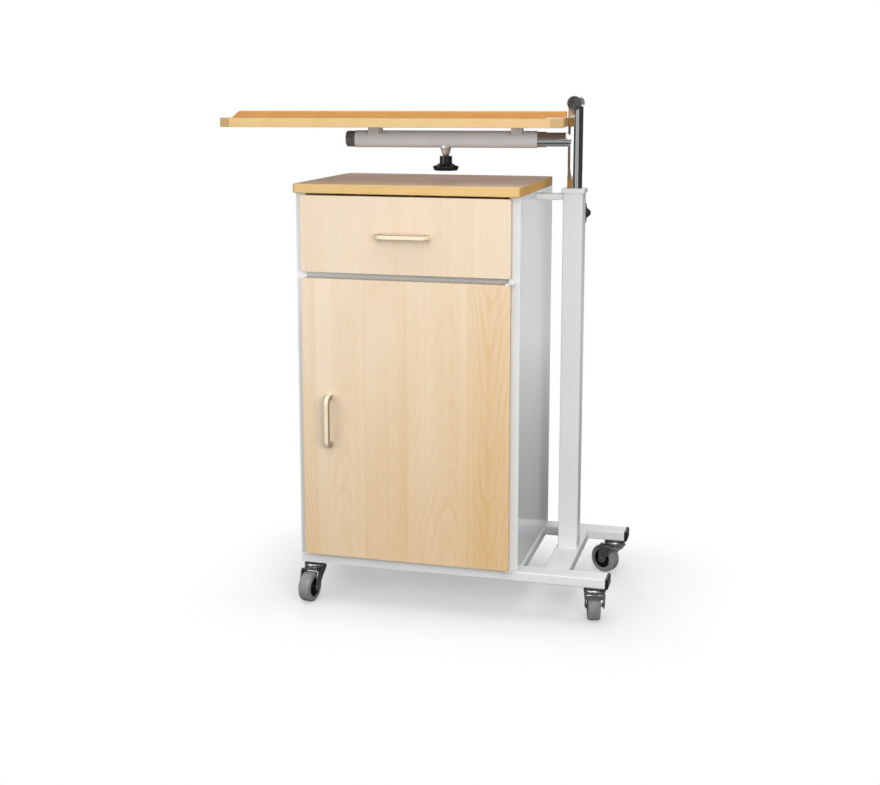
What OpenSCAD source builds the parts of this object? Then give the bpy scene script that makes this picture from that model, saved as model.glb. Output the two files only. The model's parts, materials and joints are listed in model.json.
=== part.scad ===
// Bedside cabinet on castors with a height-adjustable over-bed table.
// Millimetres, +Z up, floor at Z = 0, front of the cabinet towards -Y.

/* [Cabinet] */
// Outer width of the carcass
cab_w = 450; // [420:5:500]
// Depth of the carcass behind the fronts
cab_d = 330; // [320:5:360]
// Height of the carcass between base frame and top board
cab_h = 735; // [700:5:780]
// Thickness of the side panels
side_t = 22; // [18:1:25]
// Thickness of top board, bottom and divider
board_t = 18; // [16:1:22]
// Thickness of the back panel
back_t = 8; // [5:1:10]
// Thickness of door and drawer front
front_t = 18; // [16:1:20]
// How far a front covers each side panel
front_cover = 7; // [5:0.5:9]
// Height of the drawer front
drawer_front_h = 150; // [130:5:180]
// Gap between drawer front and top board
gap_top = 4; // [3:0.5:6]
// Gap between drawer front and door
gap_mid = 12; // [11:0.5:16]
// Gap between door and base frame
gap_low = 5; // [4:0.5:8]
// Set-back of the divider behind the side panels
divider_back = 3; // [2:1:20]
// Corner radius of the fronts
front_corner = 5; // [2:0.5:8]
// Corner radius of the top board
top_corner = 4; // [2:0.5:10]
// Overhang of the top board at each side
top_side = 1; // [0:0.5:4]

/* [Drawer] */
// Height of the drawer sides
box_h = 100; // [70:5:100]
// Space between drawer box and back panel
box_gap = 32; // [20:1:60]
// Thickness of drawer sides and back
box_t = 12; // [10:1:16]
// Thickness of the drawer bottom
box_floor = 6; // [4:0.5:9]
// Height of the drawer floor above the side's lower edge
box_lip = 6; // [4:1:12]
// Space for a runner beside the drawer
runner_gap = 13; // [12:0.5:16]
// Height of a fixed runner
runner_h = 35; // [28:1:45]
// Sheet thickness of the runners
runner_t = 1.5; // [1:0.1:2]
// Set-back of the runners behind the carcass front
runner_back = 5; // [3:0.5:15]
// Running clearance of the runners
runner_play = 0.5; // [0.3:0.1:1]

/* [Door pivots] */
// Diameter of the pivot pins
pivot_d = 5; // [4:0.5:6]
// Distance of the pivot axis from the door's edge
pivot_in = 6; // [5:0.5:8]
// Depth of the pivot bores in the door
pivot_depth = 12; // [8:1:20]
// Sheet thickness of the pivot brackets
pivot_sheet = 2.5; // [2:0.25:3]
// Width of a pivot bracket
pivot_w = 16; // [14:1:24]
// Height of the lower bracket's leg on the rail
pivot_leg = 16; // [10:1:17]

/* [Handles] */
// Hole distance of the bow handles
handle_pitch = 96; // [64:8:128]
// Width of the handle bar
handle_w = 9; // [7:0.5:12]
// Depth of the handle bar
handle_t = 11; // [8:0.5:12]
// Edge radius of the handle bar
handle_round = 3; // [1.5:0.25:3.25]
// Distance from panel to bar centre
handle_reach = 27; // [24:1:34]
// Bend radius of the bar centre line
handle_bend = 12; // [8:1:16]
// Door handle distance from the door's free edge
door_handle_in = 58; // [35:1:80]
// Door handle centre below the door's top edge
door_handle_drop = 284; // [120:2:320]

/* [Base frame] */
// Length of the two long rails
rail_len = 622; // [600:2:680]
// Width of a rail
rail_w = 40; // [36:1:50]
// Height of the frame tubes
rail_h = 20; // [20:1:30]
// Wall of the frame tubes
rail_wall = 2; // [1.5:0.25:3]
// Corner radius at the closed end of a rail
rail_round = 4; // [2:0.5:6]
// Width of the cross tube under the column
cross_w = 50; // [46:1:60]
// Width of the cross tube under the cabinet side
side_cross_w = 40; // [30:1:50]
// How far that cross tube stands out under the cabinet side
side_cross_out = 3; // [0:0.5:6]
// Length of a rail end cap outside the tube
cap_out = 10; // [6:0.5:14]
// Length of a rail end cap inside the tube
cap_in = 14; // [8:1:20]
// Edge height of the domed cap before the dome starts
cap_edge = 4; // [2:0.5:5]

/* [Column] */
// Outside of the square column
column_w = 40; // [38:1:45]
// Wall of the column
column_wall = 2; // [1.5:0.25:2.5]
// Free space between cabinet side and column
column_gap = 51.5; // [45:0.5:60]
// Column centre behind the carcass front
column_y = 180; // [160:1:190]
// Column top below the underside of the top board
column_drop = 4; // [2:1:12]
// Height of the collar on the column
collar_h = 9; // [6:0.5:14]
// Rim of the collar beyond the column
collar_rim = 3; // [1.5:0.5:5]
// Length of the collar's guide inside the column
collar_guide = 25; // [15:1:30]
// Top of the bar between cabinet and column below the column's top
stay_drop = 2; // [0:0.5:10]
// Thickness of the bar between cabinet and column
stay_h = 12; // [8:1:16]
// Depth of the bar between cabinet and column
stay_d = 38; // [24:1:38]
// Clamp knob centre below the column top
clamp_drop = 44; // [38:1:60]
// Length of the threaded boss behind the column
boss_l = 8; // [5:0.5:12]
// Diameter of the threaded boss
boss_d = 22; // [16:1:26]

/* [Post and arm] */
// Diameter of the lifting post
post_d = 30; // [28:0.5:32]
// Wall of post and arm
post_wall = 2; // [1.5:0.25:2.5]
// Length of post inside the column at the lowest setting
post_insert = 350; // [330:5:380]
// Height of the sliding block at the post's foot
glide_h = 60; // [45:1:80]
// Depth of the post's socket in the block
glide_socket = 20; // [12:1:30]
// Arm axis above the top board
arm_rise = 82.5; // [80:0.5:110]
// Outside diameter of the arm
arm_d = 28; // [26:0.5:29]
// Arm end from the post axis
arm_l = 440; // [400:5:500]
// Cross tube axis above the arm axis
tee_rise = 71.5; // [60:0.5:90]
// Diameter of the cross tube on the post
tee_d = 28; // [25:0.5:30]
// Length of the cross tube
tee_l = 40; // [34:1:60]
// Turn of the cross tube against the arm's square, degrees
tee_turn = -8; // [-12:1:12]
// Thickness of a plug's flange
plug_t = 3; // [2:0.5:5]
// Diameter of the outer ring groove on a cross tube plug
ring_d = 17; // [14:0.5:20]
// Diameter of the inner ring groove on a cross tube plug
eye_d = 8; // [5:0.5:10]
// Length of the arm's end plug
arm_plug_l = 19; // [12:0.5:26]
// Diameter of the arm's end plug
arm_plug_d = 32; // [30:0.5:34]
// Length of the ring on the arm
ferrule_l = 18; // [12:0.5:24]
// Diameter of the ring on the arm
ferrule_d = 31; // [29.5:0.5:34]
// Turn of the table about the post at rest, degrees
rest_turn = 8; // [0:1:12]

/* [Table] */
// Outside diameter of the tilting sleeve
sleeve_d = 34; // [32:0.5:38]
// Sleeve start from the post axis
sleeve_start = 75; // [65:1:90]
// Height of the saddles at the sleeve's crown
saddle_rise = 7.5; // [5:0.5:12]
// Width of a saddle along the sleeve
saddle_w = 22; // [14:1:30]
// Depth of a saddle across the sleeve
saddle_d = 50; // [40:1:80]
// Saddle centre from the sleeve's end
saddle_in = 40; // [25:1:60]
// Length of the table board
tray_l = 656; // [600:4:700]
// Depth of the table board
tray_w = 360; // [340:4:380]
// Thickness of the table board
tray_t = 18; // [16:1:22]
// Cut front corners of the table board
tray_corner = 24; // [12:1:36]
// Space between post and table board
tray_gap = 4; // [3:0.5:8]
// Tilt of the table about the arm at rest, degrees, rear edge down below zero
rest_tilt = -1; // [-3:0.5:3]
// Height of the ledges on the table's long edges
ledge_h = 13; // [8:0.5:18]
// Thickness of a ledge
ledge_t = 14; // [10:1:20]
// Front ledge end from the cut corner
ledge_in = 5; // [2:0.5:12]
// Rear ledge end from the board's end
rear_ledge_in = 3; // [2:0.5:12]
// How deep the ledges are let into the board
ledge_seat = 2; // [1:0.5:4]
// Width of the small bevels on the ledges
edge_bevel = 1.5; // [0.5:0.25:2.5]

/* [Knobs] */
// Diameter of a star grip
knob_d = 54; // [48:1:58]
// Height of a star grip
knob_h = 15; // [11:0.5:16]
// Height of a star grip's widest line above its foot
knob_rim = 8; // [4:0.5:10]
// Diameter of a star grip's foot
knob_foot_d = 42; // [36:1:46]
// Number of grip lobes
knob_lobes = 6; // [5:1:8]
// Scallop radius as a share of half the lobe spacing
lobe_cut = 0.72; // [0.5:0.02:0.8]
// Diameter of a knob's neck
neck_d = 25; // [20:0.5:28]
// Height of a knob's neck
neck_h = 15; // [10:0.5:16]
// Diameter of the clamp studs
stud_d = 8; // [6:0.5:10]
// Height of the cone under the sleeve
cone_h = 16; // [10:0.5:18]
// Large diameter of the cone
cone_d = 23; // [20:0.5:28]
// Small diameter of the cone
cone_tip_d = 12; // [11:0.5:18]

/* [Castors] */
// Height of a castor
castor_h = 80; // [80:1:90]
// Diameter of a wheel
wheel_d = 60; // [50:1:60]
// Width of a tyre
tyre_w = 25; // [18:1:26]
// Thickness of a tyre
tyre_t = 10; // [7:0.5:12]
// Shoulder radius of a tyre
tyre_round = 5; // [2:0.5:6]
// Distance of the wheel axle behind the swivel axis
castor_trail = 25; // [20:1:28]
// Castor axis from the rail's end
castor_in = 22; // [22:1:40]
// Diameter of the fixed disc on the rail
head_d = 40; // [34:1:44]
// Diameter of the swivel bowl
bowl_d = 44; // [38:1:48]
// Thickness of the fixed disc
head_t = 4; // [3:0.5:5]
// Height of the swivel bowl
bowl_h = 9; // [8:0.5:10]
// Diameter of the king pin
king_d = 10; // [8:0.5:12]
// Sheet thickness of the fork
fork_t = 2.5; // [2:0.25:3.5]
// Space between a tyre and the fork's feet
fork_gap = 1; // [0.8:0.1:2]
// Width of the fork's crown
crown_w = 42; // [38:1:44]
// Setback of the legs from the crown's edges
crown_in = 0.5; // [0.3:0.1:1]
// Diameter of an axle
axle_d = 6; // [5:0.5:8]
// Turn of the front left castor at rest, degrees
turn_fl = 262; // [200:1:340]
// Turn of the front right castor at rest, degrees
turn_fr = 102; // [80:1:200]
// Turn of the rear left castor at rest, degrees
turn_rl = 160; // [90:1:270]
// Turn of the rear right castor at rest, degrees
turn_rr = 150; // [90:1:270]

/* [Fits] */
// Radial clearance of shafts that turn in their bores
turn_fit = 0.08; // [0.04:0.01:0.1]
// Space between faces of pieces that move past each other
face_fit = 0.3; // [0.25:0.05:0.5]
// Space between a front and the carcass
front_seat = 0.4; // [0.3:0.1:0.8]
// Roundness of curved faces
$fn = 64; // [32:8:96]

/* [Hidden] */

// Cutting tools reach this far past the faces they open
over = 1;

// Levels of the cabinet
cab_z0 = castor_h + rail_h;
cab_z1 = cab_z0 + cab_h;
top_z = cab_z1 + board_t;
inner_w = cab_w - 2 * side_t;
back_y = cab_d - back_t;

// Outline of the fronts
front_x0 = side_t - front_cover;
front_x1 = cab_w - front_x0;
front_w = front_x1 - front_x0;
front_y0 = -front_seat - front_t;
drawer_z1 = cab_z1 - gap_top;
drawer_z0 = drawer_z1 - drawer_front_h;
door_z1 = drawer_z0 - gap_mid;
door_z0 = cab_z0 + gap_low;
door_h = door_z1 - door_z0;
divider_z0 = (drawer_z0 + door_z1 - board_t) / 2;

// Drawer box and runners
box_d = back_y - box_gap;
runner_l = box_d - 2 * runner_back;
box_z0 = divider_z0 + board_t + (cab_z1 - divider_z0 - board_t - box_h) / 2;
box_x0 = side_t + runner_gap;
box_x1 = cab_w - box_x0;
runner_z0 = box_z0 + (box_h - runner_h) / 2;

// Door pivot axis, half a door's thickness inside its edge
pivot_r = front_t / 2;
pivot_x = front_x1 - pivot_in;
pivot_y = -front_seat - pivot_r;
pivot_x0 = pivot_x - pivot_d;

// Column, clamp and post
column_x = cab_w + column_gap + column_w / 2;
column_z1 = cab_z1 - column_drop;
column_in = column_w - 2 * column_wall;
clamp_z = column_z1 - clamp_drop;
stay_z1 = column_z1 - stay_drop;
post_r = post_d / 2;
post_z0 = column_z1 - post_insert;
glide_z1 = post_z0 + glide_socket;

// Arm and table length, measured from the post axis
arm_z = top_z + arm_rise;
arm_r = arm_d / 2;
tee_z = arm_z + tee_rise;
tee_r = tee_d / 2;
post_z1 = tee_z - tee_r / 2;
sleeve_r = sleeve_d / 2;
sleeve_l = arm_l - sleeve_start - face_fit;
sleeve_mid = sleeve_start + sleeve_l / 2;
tray_near = post_r + tray_gap;
tray_far = tray_near + tray_l;
half_w = tray_w / 2;

// Table pieces, measured from the arm axis
tray_z0 = sleeve_r + saddle_rise;
tray_z1 = tray_z0 + tray_t;
ledge_x0 = -tray_far + tray_corner + ledge_in;
ledge_x1 = -tray_near - tray_corner - ledge_in;
rear_ledge_x0 = -tray_far + rear_ledge_in;
rear_ledge_x1 = -tray_near - rear_ledge_in;
ledge_z0 = tray_z1 - ledge_seat;
ledge_top = ledge_seat + ledge_h;

// Clamp screws
stud_r = stud_d / 2;
cone_z0 = -sleeve_r - cone_h;
knob_r = knob_d / 2;
lobe_cut_r = knob_r * sin(180 / knob_lobes) * lobe_cut;

// Castors
wheel_r = wheel_d / 2;
hub_r = wheel_r - tyre_t;
leg_y = tyre_w / 2 + fork_gap;
bowl_z1 = castor_h - head_t - face_fit;
bowl_z0 = bowl_z1 - bowl_h;
crown_z0 = bowl_z0 - fork_t;
leg_z0 = wheel_r - axle_d;
leg_z1 = crown_z0 + fork_t / 2;
leg_lean = atan((crown_w / 2 - crown_in - fork_t - leg_y) / (crown_z0 - leg_z0));
axle_r = axle_d / 2;
castor_turn = [turn_fl, turn_fr, turn_rl, turn_rr];
castor_x = [castor_in, rail_len - castor_in];
castor_y = [rail_w / 2, cab_d - rail_w / 2];

// Origin under the middle of the outer box
turn_c = cos(rest_turn);
turn_s = sin(rest_turn);
function table_y(y, z) = y * cos(rest_tilt) - z * sin(rest_tilt);
function wheel_y(a) = castor_y[1] + (castor_trail + wheel_r) * sin(a) + tyre_w / 2 * abs(cos(a));
out_x0 = column_x - tray_far * turn_c - table_y(half_w, tray_z1) * turn_s;
out_x1 = rail_len + cap_out;
handle_y0 = front_y0 - handle_reach - handle_t / 2;
tray_y0 = column_y - (tray_far - tray_corner) * turn_s + table_y(-half_w, tray_z0) * turn_c;
tray_y1 = column_y - tray_near * turn_s + table_y(half_w, tray_z1) * turn_c;
out_y0 = min(tray_y0, handle_y0);
out_y1 = max(tray_y1, cab_d, wheel_y(turn_rl), wheel_y(turn_rr));
origin_x = (out_x0 + out_x1) / 2;
origin_y = (out_y0 + out_y1) / 2;

// Puts a piece drawn from the cabinet's front left foot into the shared frame.
module place() {
  translate([-origin_x, -origin_y, 0])
    children();
}

// Puts a piece drawn from the post axis, arm towards -X, into the shared frame.
module on_post() {
  place()
    translate([column_x, column_y, 0])
      rotate([0, 0, rest_turn])
        children();
}

// Puts a piece drawn round the arm axis, table level, into the shared frame.
module on_table() {
  on_post()
    translate([0, 0, arm_z])
      rotate([rest_tilt, 0, 0])
        children();
}

// Puts a piece drawn along the cross tube's axis onto the post's head.
module on_tee() {
  translate([0, 0, tee_z])
    rotate([0, 0, tee_turn])
      children();
}

// Puts a piece drawn from a castor's swivel axis, wheel towards +X, into the shared frame.
module on_castor(ix, iy) {
  place()
    translate([castor_x[ix], castor_y[iy], 0])
      rotate([0, 0, castor_turn[ix + 2 * iy]])
        children();
}

// Upright panel outline with rounded corners, standing on the XZ plane.
module rounded_panel(w, h, t, r) {
  translate([0, t, 0])
    rotate([90, 0, 0])
      linear_extrude(t)
        rounded_outline(w, h, r);
}

// Rectangle with round corners from the origin.
module rounded_outline(w, h, r) {
  translate([r, 0])
    square([w - 2 * r, h]);
  translate([0, r])
    square([w, h - 2 * r]);
  for (x = [r, w - r])
    for (y = [r, h - r])
      translate([x, y])
        circle(r);
}

// Rod along X between two stations.
module rod_x(x0, x1, r) {
  translate([x0, 0, 0])
    rotate([0, 90, 0])
      cylinder(h = x1 - x0, r = r);
}

// Rod along Y between two stations.
module rod_y(y0, y1, r) {
  translate([0, y0, 0])
    rotate([-90, 0, 0])
      cylinder(h = y1 - y0, r = r);
}

// Long rail: rectangular tube, closed and rounded at the cabinet's left, open at the right.
module rail() {
  difference() {
    cube([rail_len, rail_w, rail_h]);
    translate([rail_wall, rail_wall, rail_wall])
      cube([rail_len, rail_w - 2 * rail_wall, rail_h - 2 * rail_wall]);
    difference() {
      translate([-over, -over, -over])
        cube([rail_round + over, rail_w + 2 * over, rail_round + over]);
      translate([rail_round, 0, rail_round])
        rod_y(-2 * over, rail_w + 2 * over, rail_round);
    }
  }
}

// Cross tube between the two long rails.
module cross_tube(w) {
  difference() {
    cube([w, cab_d - 2 * rail_w, rail_h]);
    translate([rail_wall, -over, rail_wall])
      cube([w - 2 * rail_wall, cab_d, rail_h - 2 * rail_wall]);
  }
}

module front_rail() {
  color("white")
    place()
      translate([0, 0, castor_h])
        rail();
}

module rear_rail() {
  color("white")
    place()
      translate([0, cab_d - rail_w, castor_h])
        rail();
}

module column_crossbar() {
  color("white")
    place()
      translate([column_x - cross_w / 2, rail_w, castor_h])
        cross_tube(cross_w);
}

module side_crossbar() {
  color("white")
    place()
      translate([cab_w + side_cross_out - side_cross_w, rail_w, castor_h])
        cross_tube(side_cross_w);
}

// Domed plastic caps that close the open ends of both rails.
module rail_end_caps() {
  plug_in = rail_wall + turn_fit;
  dome = cap_out - cap_edge;
  dome_r = (pow(rail_h / 2, 2) + dome * dome) / (2 * dome);
  color("black")
    place()
      for (y = [0, cab_d - rail_w])
        translate([rail_len, y, castor_h]) {
          cube([cap_edge, rail_w, rail_h]);
          intersection() {
            cube([cap_out, rail_w, rail_h]);
            translate([cap_out - dome_r, 0, rail_h / 2])
              rod_y(0, rail_w, dome_r);
          }
          translate([-cap_in, plug_in, plug_in])
            cube([cap_in + over, rail_w - 2 * plug_in, rail_h - 2 * plug_in]);
        }
}

// Fixed half of each castor: disc under the rail and the king pin.
module castor_heads() {
  color("silver")
    for (ix = [0, 1])
      for (iy = [0, 1])
        on_castor(ix, iy) {
          translate([0, 0, castor_h - head_t])
            cylinder(h = head_t, d = head_d);
          translate([0, 0, crown_z0])
            cylinder(h = castor_h - crown_z0, d = king_d);
        }
}

// Swivelling half of a castor: bowl, crown, two legs leaning in to the wheel, and the riveted axle.
module castor_fork(ix, iy) {
  crown_x0 = -bowl_d / 2 + fork_t;
  leg_x0 = crown_x0 + crown_in;
  leg_x1 = castor_trail - crown_in;
  color("silver")
    on_castor(ix, iy) {
      difference() {
        union() {
          translate([0, 0, bowl_z0])
            rotate_extrude() {
              square([bowl_d / 2 - bowl_h / 2, bowl_h]);
              translate([bowl_d / 2 - bowl_h / 2, bowl_h / 2])
                circle(bowl_h / 2);
            }
          translate([crown_x0, -crown_w / 2, crown_z0])
            cube([castor_trail - crown_x0, crown_w, fork_t]);
        }
        translate([0, 0, crown_z0 - over])
          cylinder(h = castor_h, r = king_d / 2 + turn_fit);
      }
      for (side = [0, 1])
        mirror([0, side, 0])
          translate([0, leg_y, leg_z0])
            rotate([-leg_lean, 0, 0])
              translate([0, fork_t, -leg_z0])
                rotate([90, 0, 0])
                  linear_extrude(fork_t) {
                    polygon([
                      [leg_x0, leg_z1], [leg_x1, leg_z1],
                      [castor_trail + axle_d, wheel_r], [castor_trail - axle_d, wheel_r],
                      [leg_x0, crown_z0 - fork_t]
                    ]);
                    translate([castor_trail, wheel_r])
                      circle(axle_d);
                  }
      translate([castor_trail, 0, wheel_r])
        rod_y(-leg_y - 2 * fork_t, leg_y + 2 * fork_t, axle_r);
    }
}

// Rubber tread with round shoulders.
module castor_tyre(ix, iy) {
  color("gray")
    on_castor(ix, iy)
      translate([castor_trail, 0, wheel_r])
        rotate([90, 0, 0])
          rotate_extrude() {
            translate([hub_r, -tyre_w / 2])
              square([tyre_t - tyre_round, tyre_w]);
            translate([hub_r, tyre_round - tyre_w / 2])
              square([tyre_t, tyre_w - 2 * tyre_round]);
            for (y = [-1, 1])
              translate([wheel_r - tyre_round, y * (tyre_w / 2 - tyre_round)])
                circle(tyre_round);
          }
}

// Wheel centre: boss, recessed web and rim seat.
module castor_hub(ix, iy) {
  boss_r = axle_r + fork_t;
  rim_r = hub_r - fork_t;
  web_w = tyre_w / 3;
  color("dimgray")
    on_castor(ix, iy)
      translate([castor_trail, 0, wheel_r])
        rotate([90, 0, 0])
          rotate_extrude() {
            translate([axle_r + turn_fit, -tyre_w / 2])
              square([boss_r - axle_r, tyre_w]);
            translate([boss_r, -web_w / 2])
              square([rim_r - boss_r + over, web_w]);
            translate([rim_r, fork_t / 2 - tyre_w / 2])
              square([hub_r - rim_r, tyre_w - fork_t]);
          }
}

// Side panel of the carcass.
module side_panel() {
  cube([side_t, cab_d, cab_h]);
}

module side_panel_left() {
  color("white")
    place()
      translate([0, 0, cab_z0])
        side_panel();
}

module side_panel_right() {
  color("white")
    place()
      translate([cab_w - side_t, 0, cab_z0])
        side_panel();
}

module bottom_panel() {
  color("white")
    place()
      translate([side_t, 0, cab_z0])
        cube([inner_w, back_y, board_t]);
}

module back_panel() {
  color("white")
    place()
      translate([side_t, back_y, cab_z0])
        cube([inner_w, back_t, cab_h]);
}

module divider_panel() {
  color("lightgray")
    place()
      translate([side_t, divider_back, divider_z0])
        cube([inner_w, back_y - divider_back, board_t]);
}

// Top board, its front edge in line with the fronts.
module top_board() {
  color("burlywood")
    place()
      translate([-top_side, front_y0, cab_z1])
        linear_extrude(board_t)
          rounded_outline(cab_w + 2 * top_side, cab_d - front_y0, top_corner);
}

// Channel on the cabinet side that carries the drawer, open towards +X.
module fixed_runner() {
  reach = runner_gap - 2 * runner_t;
  difference() {
    cube([reach, runner_l, runner_h]);
    translate([runner_t, -over, runner_t])
      cube([reach, runner_l + 2 * over, runner_h - 2 * runner_t]);
  }
}

// Slide bar on the drawer side, reaching into the channel towards -X.
module moving_runner() {
  bar_h = runner_h - 2 * runner_t - 2 * runner_play;
  bar_w = runner_gap - runner_t - runner_play;
  translate([-runner_t, 0, 0])
    cube([runner_t, runner_l, runner_h]);
  translate([-bar_w, 0, (runner_h - bar_h) / 2])
    cube([bar_w, runner_l, bar_h]);
}

module runner_fixed_left() {
  color("silver")
    place()
      translate([side_t, runner_back, runner_z0])
        fixed_runner();
}

module runner_fixed_right() {
  color("silver")
    place()
      translate([cab_w - side_t, runner_back, runner_z0])
        mirror([1, 0, 0])
          fixed_runner();
}

module runner_moving_left() {
  color("silver")
    place()
      translate([box_x0, runner_back, runner_z0])
        moving_runner();
}

module runner_moving_right() {
  color("silver")
    place()
      translate([box_x1, runner_back, runner_z0])
        mirror([1, 0, 0])
          moving_runner();
}

module drawer_front() {
  color("burlywood")
    place()
      translate([front_x0, front_y0, drawer_z0])
        rounded_panel(front_w, drawer_front_h, front_t, front_corner);
}

// Side board of the drawer box, butted against the drawer front.
module drawer_side() {
  translate([0, -front_seat, 0])
    cube([box_t, box_d, box_h]);
}

module drawer_side_left() {
  color("wheat")
    place()
      translate([box_x0, 0, box_z0])
        drawer_side();
}

module drawer_side_right() {
  color("wheat")
    place()
      translate([box_x1 - box_t, 0, box_z0])
        drawer_side();
}

module drawer_bottom() {
  color("wheat")
    place()
      translate([box_x0 + box_t, -front_seat, box_z0 + box_lip])
        cube([box_x1 - box_x0 - 2 * box_t, box_d, box_floor]);
}

module drawer_back() {
  color("wheat")
    place()
      translate([box_x0 + box_t, box_d - box_t - front_seat, box_z0 + box_lip + box_floor])
        cube([box_x1 - box_x0 - 2 * box_t, box_t, box_h - box_lip - box_floor]);
}

// Section of the handle bar, its depth along X.
module bar_section() {
  translate([-handle_t / 2, -handle_w / 2])
    rounded_outline(handle_t, handle_w, handle_round);
}

// Bow handle along Z, its feet on the plane Y = 0 and its bar towards -Y.
module bow_handle() {
  straight = handle_reach - handle_bend;
  half = handle_pitch / 2;
  for (end = [0, 1])
    mirror([0, 0, end]) {
      translate([0, 0, half])
        rotate([90, 0, 0])
          linear_extrude(straight)
            rotate([0, 0, 90])
              bar_section();
      translate([0, -straight, half - handle_bend])
        rotate([0, -90, 0])
          rotate([0, 0, -90])
            rotate_extrude(angle = 90)
              translate([handle_bend, 0])
                bar_section();
    }
  translate([0, -handle_reach, -half + handle_bend])
    linear_extrude(handle_pitch - 2 * handle_bend)
      rotate([0, 0, 90])
        bar_section();
}

module drawer_handle() {
  color("ivory")
    place()
      translate([cab_w / 2, front_y0, drawer_z0 + drawer_front_h / 2])
        rotate([0, 90, 0])
          bow_handle();
}

module door_handle() {
  color("ivory")
    place()
      translate([front_x0 + door_handle_in, front_y0, door_z1 - door_handle_drop])
        bow_handle();
}

// Door with the hidden edge rounded about its pivots and a pivot bore at each end.
module door_panel() {
  color("burlywood")
    place()
      difference() {
        intersection() {
          translate([front_x0, front_y0, door_z0])
            rounded_panel(front_w, door_h, front_t, front_corner);
          translate([0, 0, door_z0]) {
            linear_extrude(door_h) {
              translate([front_x0, front_y0])
                square([pivot_x - front_x0, front_t]);
              translate([front_x0, front_y0])
                square([front_w, pivot_r]);
              translate([pivot_x, pivot_y])
                circle(pivot_r);
            }
          }
        }
        for (z = [door_z0, door_z1 - pivot_depth])
          translate([pivot_x, pivot_y, z])
            cylinder(h = pivot_depth, r = pivot_d / 2 + turn_fit);
      }
}

// Angle on the side panel's front edge with the pin that holds the door's upper end.
module door_pivot_upper() {
  sheet_z = door_z1 + face_fit;
  color("white")
    place() {
      translate([pivot_x0, pivot_y - pivot_d, sheet_z])
        cube([pivot_w, pivot_d - pivot_y, pivot_sheet]);
      translate([cab_w - side_t, -pivot_sheet, sheet_z])
        cube([pivot_x0 + pivot_w - cab_w + side_t, pivot_sheet, gap_mid - 2 * face_fit]);
      translate([pivot_x, pivot_y, door_z1 - pivot_depth + over])
        cylinder(h = pivot_depth - over + face_fit + pivot_sheet, d = pivot_d);
    }
}

// Angle on the front rail with the pin that carries the door's lower end.
module door_pivot_lower() {
  sheet_z1 = door_z0 - face_fit;
  color("white")
    place() {
      translate([pivot_x0, pivot_y - pivot_d, sheet_z1 - pivot_sheet])
        cube([pivot_w, pivot_d - pivot_y, pivot_sheet]);
      translate([pivot_x0, -pivot_sheet, cab_z0 - pivot_leg])
        cube([pivot_w, pivot_sheet, sheet_z1 - cab_z0 + pivot_leg]);
      translate([pivot_x, pivot_y, sheet_z1 - pivot_sheet])
        cylinder(h = pivot_depth - over + face_fit + pivot_sheet, d = pivot_d);
    }
}

// Square column on the base frame, with the clamp screw's hole in its rear wall.
module column() {
  color("white")
    place()
      translate([column_x, column_y, cab_z0])
        difference() {
          translate([-column_w / 2, -column_w / 2, 0])
            cube([column_w, column_w, column_z1 - cab_z0]);
          translate([-column_in / 2, -column_in / 2, -over])
            cube([column_in, column_in, column_z1 - cab_z0 + 2 * over]);
          translate([0, 0, clamp_z - cab_z0])
            rod_y(0, column_w, stud_r + turn_fit);
        }
}

// Collar with the guide that keeps the post upright.
module column_collar() {
  guide_w = column_in - 2 * turn_fit;
  rim_w = column_w + 2 * collar_rim;
  color("white")
    place()
      translate([column_x, column_y, column_z1])
        difference() {
          union() {
            translate([-rim_w / 2, -rim_w / 2, 0])
              linear_extrude(collar_h)
                rounded_outline(rim_w, rim_w, collar_rim);
            translate([-guide_w / 2, -guide_w / 2, -collar_guide])
              cube([guide_w, guide_w, collar_guide + over]);
          }
          translate([0, 0, -collar_guide - over])
            cylinder(h = collar_guide + collar_h + 2 * over, r = post_r + turn_fit);
        }
}

// Bar that ties the column's head to the cabinet side.
module column_stay() {
  color("white")
    place()
      translate([cab_w, column_y - stay_d / 2, stay_z1 - stay_h])
        cube([column_gap, stay_d, stay_h]);
}

// Threaded boss for the clamp screw on the column's rear wall.
module clamp_boss() {
  color("white")
    place()
      translate([column_x, column_y, clamp_z])
        difference() {
          rod_y(column_w / 2, column_w / 2 + boss_l, boss_d / 2);
          rod_y(0, column_w + boss_l, stud_r + turn_fit);
        }
}

// Square block that slides in the column and lets the post turn.
module post_glide() {
  glide_w = column_in - 2 * face_fit;
  color("dimgray")
    place()
      translate([column_x, column_y, glide_z1 - glide_h])
        difference() {
          translate([-glide_w / 2, -glide_w / 2, 0])
            cube([glide_w, glide_w, glide_h]);
          translate([0, 0, glide_h - glide_socket])
            cylinder(h = glide_socket + over, r = post_r + turn_fit);
        }
}

// Chromed post, its head hollowed to seat the short cross tube.
module post_tube() {
  color("silver")
    on_post()
      difference() {
        translate([0, 0, post_z0 + turn_fit])
          cylinder(h = post_z1 - post_z0, r = post_r);
        translate([0, 0, post_z0 - over])
          cylinder(h = post_z1 - post_z0 + 2 * over + tee_r, r = post_r - post_wall);
        on_tee()
          rod_y(-post_d, post_d, tee_r + turn_fit);
      }
}

// Short cross tube on the post's head.
module post_tee() {
  color("silver")
    on_post()
      on_tee()
        difference() {
          rod_y(-tee_l / 2, tee_l / 2, tee_r);
          rod_y(-tee_l, tee_l, tee_r - post_wall);
        }
}

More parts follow.
